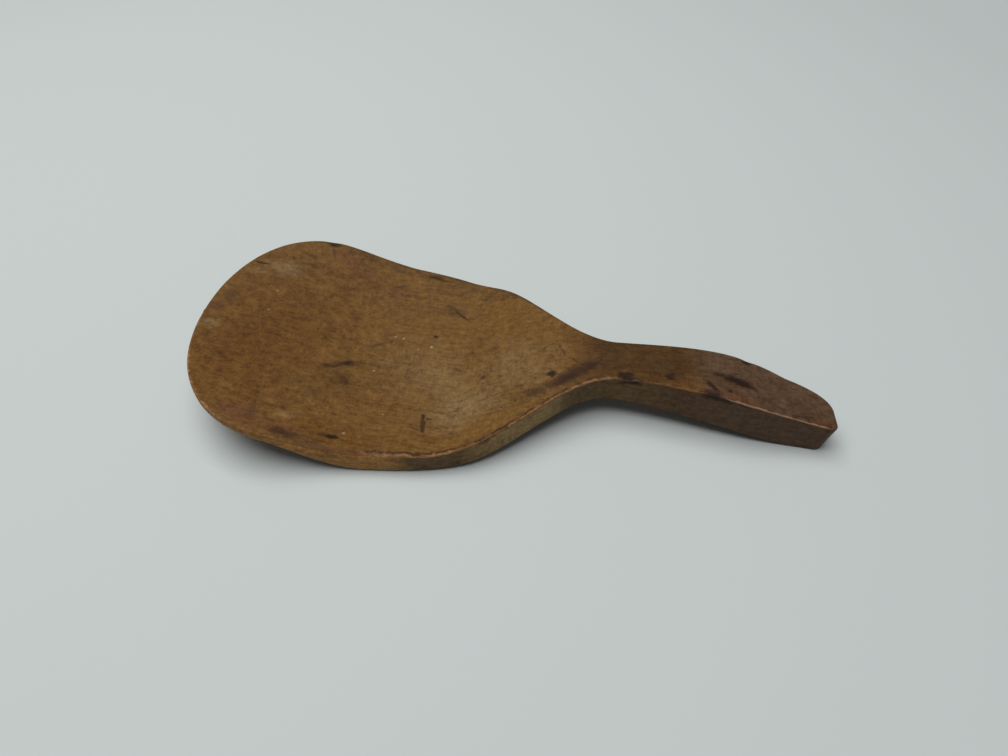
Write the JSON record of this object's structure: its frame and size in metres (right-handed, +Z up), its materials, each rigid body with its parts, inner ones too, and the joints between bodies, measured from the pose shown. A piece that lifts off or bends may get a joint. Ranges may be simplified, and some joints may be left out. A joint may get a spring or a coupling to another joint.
{
  "type": "butter spoon",
  "caption": "Old carved wooden butter spoon: a broad, shallow, slightly dished blade with a lifted tip, and a short arched handle cut from the same piece of wood.",
  "frame": {"origin": "middle of the spoon's length and width, on the table that it lies on", "axes": "+X along the spoon from the blade's tip towards the handle's end, +Z up out of the hollow face, +Y towards the handle corner that is worn round"},
  "size_m": [0.225, 0.096, 0.0204],
  "materials": {
    "old_wood": "satin"
  },
  "bodies": {
    "root": {"spoon": "old_wood"}
  },
  "joints": []
}
